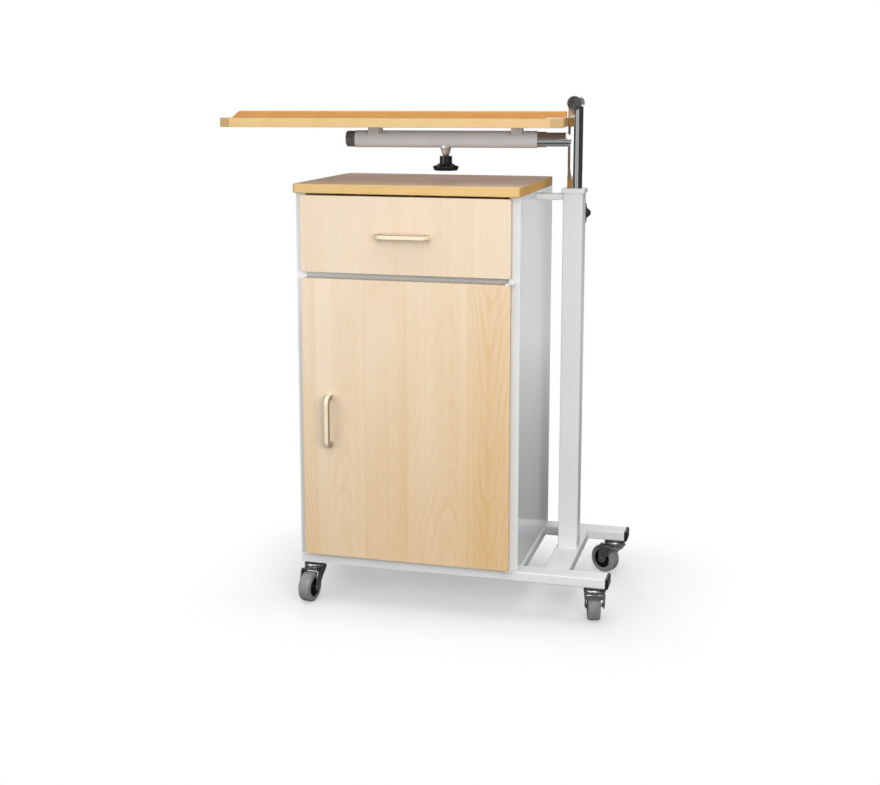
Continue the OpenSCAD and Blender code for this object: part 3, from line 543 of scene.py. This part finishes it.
# Drawer box: pale chipboard sides, back and bottom, with galvanised runners screwed to its sides.
# Only the gap around the front shows it until the drawer is pulled out.
def pale_board():
    finish, shader, place = new_finish("pale_chipboard")
    chip = place.noise(260, 4)
    chip.mix((0.68, 0.60, 0.48), (0.80, 0.74, 0.62)).into(shader, "Base Color")
    (0.5 + 0.2 * chip).into(shader, "Roughness")
    return finish


def galvanised():
    finish, shader, place = new_finish("galvanised_steel")
    spangle = place.noise(220, 2)
    spangle.mix((0.50, 0.51, 0.52), (0.66, 0.67, 0.68)).into(shader, "Base Color")
    shader.inputs["Metallic"].default_value = 1.0
    (0.28 + 0.2 * spangle).into(shader, "Roughness")
    return finish


chipboard = pale_board()
runner_steel = galvanised()
dress(chipboard, "drawer_side_left", "drawer_side_right", "drawer_back", "drawer_bottom")
dress(runner_steel, "runner_fixed_left", "runner_fixed_right", "runner_moving_left", "runner_moving_right")


# Bow handles: flat plastic bows moulded with their feet, cream outside and dark taupe on the flanks and inside,
# partly the moulding's own two tones and partly painted shade.
# They are screwed on from behind and a little worn to a shine along the grip.
def bow_moulding(name, dark, pale):
    finish, shader, place = new_finish(name)
    cloud = place.noise(40, 3)
    cloud.mix(dark, pale).into(shader, "Base Color")
    (0.22 + 0.16 * cloud).into(shader, "Roughness")
    return finish


cream_plastic = bow_moulding("cream_moulded_plastic", (0.86, 0.73, 0.48), (0.93, 0.83, 0.60))
# The taupe is partly the handle's second colour and partly painted shade on its flanks.
taupe_and_shade_plastic = bow_moulding("taupe_and_shade_moulded_plastic", (0.27, 0.20, 0.17), (0.36, 0.27, 0.23))
bow_bend = 0.017
bow_strip = 0.011
bow_reach = 0.0275
bow_ease = 0.0016


def bow_handle(name, body, node, lengthwise):
    """A bow in a node's box, its bar along X or Z."""
    low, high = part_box(node)
    low.y = high.y - bow_reach
    sideways = 2 - lengthwise
    bow = start_block(name, low, high)
    pick(bow, "FACE", lambda spot, normal: normal.y > 0.99 or abs(normal[sideways]) > 0.99)
    bpy.ops.mesh.delete(type="FACE")
    bpy.ops.object.mode_set(mode="OBJECT")
    round_edges(bow, bow_bend, 8, lambda spot, line: abs(line[sideways]) > 0.99 and spot.y < low.y + 1e-5)
    for finish in (cream_plastic, taupe_and_shade_plastic):
        bow.data.materials.append(finish)
    apply_modifier(bow, "SOLIDIFY", thickness=bow_strip, offset=-1, use_even_offset=True,
                   material_offset=1, material_offset_rim=1)
    apply_modifier(bow, "BEVEL", width=bow_ease, segments=3, angle_limit=math.radians(60))
    fit(bow, body, "cream_plastic", cream_plastic, node)


bow_handle("drawer_bow", "drawer", "drawer_handle", 0)
bow_handle("door_bow", "door", "door_handle", 2)


# Door pivots: white angle plates on the side panel and on the front rail, each with a pin for the door.
# They are folded from sheet and powder-coated with the frame.
dress(white_coat, "door_pivot_upper", "door_pivot_lower")


# Column: a square steel tube on the rear cross tube, tied to the cabinet by a flat stay below its head.
# A collar closes its top and guides the post, and a threaded boss behind takes the clamp screw.
column_round = 0.003
stay_round = 0.0015
low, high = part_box("column")
column = start_block("column_tube", low, high)
round_edges(column, column_round, 4, along(2))
hollow(column, tube_wall, lambda spot, normal: abs(normal.z) > 0.99)
fit(column, "cabinet", "white_metal", white_coat, "column")
low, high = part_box("column_stay")
stay = start_block("column_stay_bar", low, high)
round_edges(stay, stay_round, 3, along(0))
fit(stay, "cabinet", "white_metal", white_coat, "column_stay")
dress(white_coat, "column_collar", "clamp_boss")


# Post and arm: chromed steel tube, the arm coped to the post and the short cross tube seated on its head.
# A polished ring stops the sleeve. Black plugs with turned rings close the open ends.
def chrome_plate():
    finish, shader, place = new_finish("bright_chrome")
    smudge = place.noise(25, 4)
    smudge.mix((0.62, 0.62, 0.63), (0.70, 0.70, 0.71)).into(shader, "Base Color")
    shader.inputs["Metallic"].default_value = 1.0
    (0.04 + 0.08 * smudge).into(shader, "Roughness")
    return finish


def satin_steel():
    finish, shader, place = new_finish("satin_steel")
    turned = place.noise(900, 2, (1, 1, 6))
    turned.mix((0.80, 0.81, 0.82), (0.92, 0.92, 0.92)).into(shader, "Base Color")
    shader.inputs["Metallic"].default_value = 1.0
    (0.34 + 0.15 * turned).into(shader, "Roughness")
    return finish


def grey_moulding():
    finish, shader, place = new_finish("grey_moulded_plastic")
    rub = place.noise(80, 4)
    rub.mix((0.10, 0.10, 0.105), (0.17, 0.17, 0.175)).into(shader, "Base Color")
    (0.16 + 0.14 * rub).into(shader, "Roughness")
    return finish


chrome = chrome_plate()
dress(chrome, "post_tube", "post_tee", "arm_tube", "arm_ferrule")
dress(satin_steel(), "knob_cone")
dress(grey_moulding(), "arm_plug")
dress(black_plastic, "post_glide")

tee_low, tee_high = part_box("post_tee")
plug_low, plug_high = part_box("tee_plugs")
tee_mid = (tee_low + tee_high) / 2
plug_r = (tee_high.z - tee_low.z) / 2
plug_round = 0.001
plug_ease = 0.0003
plug_rings = ((0.0022, -0.0009), (0.0022, 0.0009), (0.0024, -0.0013), (0.003, 0.0005))
ring_taper = 0.94
plugs = []
for outer, inner in ((plug_low.y, tee_low.y), (plug_high.y, tee_high.y)):
    plug_mid = (tee_mid.x, (outer + inner) / 2, tee_mid.z)
    plug = start_round("tee_plug", plug_mid, plug_r, abs(outer - inner), 64, across_fork)
    outwards = 1 if outer > inner else -1
    round_edges(plug, plug_round, 3, lambda spot, line: abs(line.y) < 0.5 and abs(spot.y - outer) < 1e-5)
    for step_in, rise in plug_rings:
        pick(plug, "FACE", lambda spot, normal: normal.y * outwards > 0.99
             and (spot - tee_mid).cross(normal).length < 1e-4)
        bpy.ops.mesh.inset(thickness=step_in)
        bpy.ops.mesh.extrude_region_move(TRANSFORM_OT_translate={"value": (0, rise * outwards, 0)})
        bpy.ops.transform.resize(value=(ring_taper, 1, ring_taper), center_override=tee_mid)
        bpy.ops.object.mode_set(mode="OBJECT")
    plugs.append(plug)
tee_ends = join(*plugs)
tee_ends.name = "tee_end_plugs"
apply_modifier(tee_ends, "BEVEL", width=plug_ease, segments=2)
fit(tee_ends, "post", "black_plastic", black_moulding("black_turned_plastic", 0.045), "tee_plugs")


# Table: a maple board with cut front corners on a grey sleeve that turns on the arm.
# Two pale saddles screwed to the sleeve carry it, and stop ledges run along its front and rear edge.
sleeve_coat = powder_coat("grey_powder_coat", (0.80, 0.83, 0.86), (0.74, 0.77, 0.80))
dress(sleeve_coat, "tray_sleeve")


def pale_moulding():
    finish, shader, place = new_finish("pale_moulded_plastic")
    cloud = place.noise(50, 3)
    cloud.mix((0.62, 0.61, 0.59), (0.72, 0.71, 0.69)).into(shader, "Base Color")
    (0.38 + 0.14 * cloud).into(shader, "Roughness")
    return finish


dress(pale_moulding(), "tray_saddles")
table_along = joint_axis["tray_tilt"]
table_up = joint_axis["tray_clamp_turn"]
to_table = Matrix((table_along, table_up.cross(table_along), table_up))
from_table = to_table.transposed()
table_grain = tuple((Euler(lying).to_matrix() @ to_table).to_euler())
table_maple = maple("maple_table", table_grain, (0.74, 0.58, 0.44), (0.60, 0.42, 0.28))
table_edge = maple("maple_table_edge", table_grain, (0.80, 0.59, 0.31), (0.66, 0.43, 0.17), dull=0.5)
# The table's ends take a more orange copy of its edge band: painted shade.
shaded_table_end = maple("maple_table_end", table_grain, (0.86, 0.52, 0.18), (0.70, 0.36, 0.09), dull=0.5)
ledge_maple = maple("maple_ledge", table_grain, (0.62, 0.31, 0.08), (0.50, 0.22, 0.045), dull=0.4)


def table_box(node):
    """Lowest and highest corner of a node in the table's own directions."""
    spots = [to_table @ vertex.co for vertex in frame["nodes"][node].data.vertices]
    low = Vector([min(spot[axis] for spot in spots) for axis in range(3)])
    high = Vector([max(spot[axis] for spot in spots) for axis in range(3)])
    return low, high


def turn_with_table(piece):
    """Turns a piece from the table's directions to its place at rest."""
    piece.rotation_euler = from_table.to_euler()
    settle(piece)


table_corner = 0.024
table_ease = 0.001
ledge_round = 0.0025
ledge_cut = 0.015
low, high = table_box("tray_board")
board_top = high.z
table = start_block("table_board", low, high)
round_edges(table, table_corner, 1, lambda spot, line: abs(line.z) > 0.99 and spot.y < (low.y + high.y) / 2)
round_edges(table, table_ease, 2, lambda spot, line: abs(line.z) < 0.5)
band(table, table_maple, table_edge, shaded_table_end)
turn_with_table(table)
fit(table, "tray", "maple_board", table_maple, "tray_board")


def stop_ledge(name, node, cut_back):
    """A ledge glued on the board, its ends cut back towards the top."""
    low, high = table_box(node)
    low.z = board_top
    ledge = start_block(name, low, high)
    for end_x, inwards in ((low.x, cut_back), (high.x, -cut_back)):
        pick(ledge, "EDGE", lambda spot, line: abs(line.y) > 0.9 and spot.z > low.z + 1e-4
             and abs(spot.x - end_x) < 1e-4)
        bpy.ops.transform.translate(value=(inwards, 0, 0))
        bpy.ops.object.mode_set(mode="OBJECT")
    round_edges(ledge, ledge_round, 3, lambda spot, line: spot.z > low.z + 1e-4)
    turn_with_table(ledge)
    fit(ledge, "tray", "ledge_wood", ledge_maple, node)


stop_ledge("front_ledge", "tray_ledge", ledge_cut)
stop_ledge("rear_ledge", "tray_rear_ledge", 0)


# Clamp screws: black star grips moulded on steel studs, one below the sleeve for the tilt, one behind the
# column for the height. The grip's scallops and rims are rounded for the fingers.
neck_r = 0.0125
neck_h = 0.015
neck_round = 0.001
grip_r = 0.0265
grip_h = 0.0145
rim_h = 0.0095
rim_round = 0.0028
foot_round = 0.003
foot_share = 0.88
lobes = 6
lobe_turn = math.radians(360 / lobes)
lobe_beats = 8
scallop = ((4, 0.80), (3, 0.845), (2, 0.93))
hub_steps = ((0.001, 0.80), (0.0015, 0.82), (0.0025, 0.84))


def star_grip():
    """A star grip hanging below the origin, neck first."""
    foot_z = -neck_h - grip_h
    grip = start_round("star_grip", (0, 0, foot_z + rim_h / 2), grip_r, rim_h, lobes * lobe_beats)
    for step, share in scallop:
        for beat in {step, lobe_beats - step}:
            valley = lobe_turn * (beat / lobe_beats)
            pick(grip, "EDGE", lambda spot, line: abs(line.z) > 0.99 and abs(
                (math.atan2(spot.y, spot.x) - valley + 0.01) % lobe_turn - 0.01) < 0.01)
            bpy.ops.transform.resize(value=(share, share, 1), center_override=(0, 0, 0))
            bpy.ops.object.mode_set(mode="OBJECT")
    pick(grip, "FACE", lambda spot, normal: normal.z < -0.99)
    bpy.ops.transform.resize(value=(foot_share, foot_share, 1), center_override=(0, 0, 0))
    bpy.ops.object.mode_set(mode="OBJECT")
    for rise, share in hub_steps:
        pick(grip, "FACE", lambda spot, normal: normal.z > 0.99)
        bpy.ops.mesh.extrude_region_move(TRANSFORM_OT_translate={"value": (0, 0, rise)})
        bpy.ops.transform.resize(value=(share, share, 1), center_override=(0, 0, 0))
        bpy.ops.object.mode_set(mode="OBJECT")

    def on_rim(spot, line):
        out, run = spot.to_2d(), line.to_2d()
        return (abs(line.z) < 0.5 and abs(spot.z - foot_z - rim_h) < 1e-4
                and out.length > 0.9 * 0.8 * grip_r and abs(run.normalized().dot(out.normalized())) < 0.7)

    round_edges(grip, rim_round, 4, on_rim)
    round_edges(grip, foot_round, 4, lambda spot, line: abs(line.z) < 0.5 and spot.z < foot_z + 1e-5)
    neck = start_round("star_neck", (0, 0, -neck_h / 2 - 0.001), neck_r, neck_h + 0.002, 48)
    round_edges(neck, neck_round, 2, lambda spot, line: abs(line.z) < 0.5 and spot.z > -1e-5)
    return join(grip, neck)


tray_star = star_grip()
tray_star.name = "tray_clamp_star"
low, high = table_box("tray_knob")
tray_star.location = from_table @ Vector(((low.x + high.x) / 2, (low.y + high.y) / 2, high.z))
turn_with_table(tray_star)
fit(tray_star, "tray_clamp", "black_plastic", black_plastic, "tray_knob")
column_star = star_grip()
low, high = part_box("column_knob")
column_star.name = "column_clamp_star"
column_star.location = ((low.x + high.x) / 2, low.y, (low.z + high.z) / 2)
column_star.rotation_euler = (math.radians(90), 0, 0)
settle(column_star)
fit(column_star, "column_clamp", "black_plastic", black_plastic, "column_knob")
dress(runner_steel, "tray_knob_stud", "column_knob_stud")


# Studio: a pale floor that keeps the shadow and runs out into a white surround, soft lamps and a few flags
# that only polished metal picks up. The camera stands right of the cabinet at table height.
def sight(tree):
    """Two values: 1 for rays from the camera, and 1 for reflections and rays through glass."""
    eye = Shade(tree, tree.nodes.new("ShaderNodeLightPath").outputs["Is Camera Ray"])
    mirrored = Shade(tree, eye.socket.node.outputs["Is Glossy Ray"])
    through = Shade(tree, eye.socket.node.outputs["Is Transmission Ray"])
    return eye, eye.math("MAXIMUM", mirrored, through)


def stage_card(name, size, place, turn):
    bpy.ops.object.select_all(action="DESELECT")
    bpy.ops.mesh.primitive_plane_add(size=1, location=place, rotation=turn)
    card = bpy.context.object
    card.name = name
    card.scale = (*size, 1)
    settle(card)
    return card


scene = bpy.context.scene
scene.view_settings.view_transform = "Standard"
floor = stage_card("studio_floor", (40, 40), (0, 0, 0), (0, 0, 0))
floor_paint, floor_shader, floor_place = new_finish("studio_floor")
foot_low, foot_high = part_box("front_rail")[0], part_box("rear_rail")[1]
foot_mid, foot_half_size = (foot_low + foot_high) / 2, (foot_high - foot_low) / 2
foot_mid.z = foot_half_size.z = 0


def on_floor(operation, first, second=(0, 0, 0), output=0):
    return floor_place.node("ShaderNodeVectorMath", {"operation": operation}, {0: first, 1: second}, output)


shade_reach = 0.28
mirror_near = 0.3
mirror_far = 3
floor_bounce = 0.22
floor_seen = 0.38
floor_lift = 0.33
beside = on_floor("ABSOLUTE", on_floor("SUBTRACT", floor_place, foot_mid))
beside = on_floor("LENGTH", on_floor("MAXIMUM", on_floor("SUBTRACT", beside, foot_half_size)), output=1)
step_off = beside.between(0, shade_reach)
near_fade = step_off * step_off * (3 - 2 * step_off)
far_fade = on_floor("LENGTH", floor_place, output=1).between(mirror_near, mirror_far)
eye, mirrored = sight(floor_paint.node_tree)
((floor_bounce + floor_seen * eye) * (1 - near_fade)).into(floor_shader, "Base Color")
(eye * (floor_lift + (1 - floor_lift) * near_fade) + mirrored * far_fade).into(floor_shader, "Emission Color")
floor_shader.inputs["Emission Strength"].default_value = 1
floor_shader.inputs["Roughness"].default_value = 0.9
floor_shader.inputs["Specular IOR Level"].default_value = 0
floor.data.materials.append(floor_paint)

world = bpy.data.worlds.new("studio_surround")
scene.world = world
world.use_nodes = True
sky = world.node_tree.nodes["Background"]
surround_level = 0.42
eye, mirrored = sight(world.node_tree)
(surround_level + (1 - surround_level) * eye.math("MAXIMUM", eye, mirrored)).into(sky, "Strength")
sky.inputs["Color"].default_value = (1, 1, 1, 1)

upright_card = math.radians(90)
for name, size, place, turn, colour in (
        ("right_flag", (8, 5), (2.1, 3.0, 2.5), (upright_card, 0, upright_card), (0.06, 0.06, 0.062)),
        ("right_card", (1.5, 2), (1.9, -2.1, 1.0), (upright_card, 0, math.radians(40)), (0.5, 0.5, 0.5)),
        ("front_flag", (2.1, 2.6), (0.16, -3.3, 0.9), (upright_card, 0, 0), (0.10, 0.10, 0.10)),
        ("back_flag", (2.6, 3.6), (1.5, 6.0, 2.3), (upright_card, 0, 0), (0.24, 0.24, 0.245)),
        ("left_flag", (3.6, 2.2), (-2.6, 1.2, 1.1), (upright_card, 0, upright_card), (0.20, 0.11, 0.06))):
    cloth, cloth_shader, cloth_place = new_finish(name)
    cloth_shader.inputs["Base Color"].default_value = (0, 0, 0, 1)
    cloth_shader.inputs["Specular IOR Level"].default_value = 0
    cloth_shader.inputs["Emission Color"].default_value = (*colour, 1)
    cloth_shader.inputs["Emission Strength"].default_value = 1
    flag = stage_card(name, size, place, turn)
    flag.data.materials.append(cloth)
    flag.visible_camera = False
    flag.visible_diffuse = False
    flag.visible_shadow = False


def soft_lamp(name, place, aim, size, power, mirrored=True):
    lamp = bpy.data.lights.new(name, "AREA")
    lamp.size = size
    lamp.energy = power
    stand = bpy.data.objects.new(name, lamp)
    scene.collection.objects.link(stand)
    stand.location = place
    stand.rotation_euler = (Vector(aim) - Vector(place)).to_track_quat("-Z", "Y").to_euler()
    stand.visible_glossy = mirrored


soft_lamp("key_lamp", (0.3, -2.9, 2.2), (0, 0, 0.7), 1.8, 28)
soft_lamp("left_lamp", (-1.9, -2.6, 0.95), (0, 0, 0.75), 1.8, 23)
soft_lamp("right_lamp", (1.7, -2.4, 1.05), (0.1, 0, 0.7), 1.4, 40, mirrored=False)
soft_lamp("top_lamp", (0.1, -0.5, 3.0), (0, 0, 0), 2.2, 30)
soft_lamp("back_lamp", (-1.2, 3.0, 0.65), (0, 0, 0.5), 1.3, 50, mirrored=False)

image_width = 880
focal_pixels = 1351.6
stand_right = 0.9556
stand_back = 2.4853
eye_height = 1.04
look_down = math.radians(9.363)
look_left = math.radians(14.933)
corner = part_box("side_panel_left")[0]
camera = bpy.data.cameras.new("photo_camera")
camera.sensor_width = 36
camera.lens = focal_pixels * camera.sensor_width / image_width
camera.shift_y = -0.095
viewer = bpy.data.objects.new("photo_camera", camera)
scene.collection.objects.link(viewer)
viewer.location = (corner.x + stand_right, corner.y - stand_back, eye_height)
viewer.rotation_euler = (math.radians(90) - look_down, 0, look_left)
scene.camera = viewer
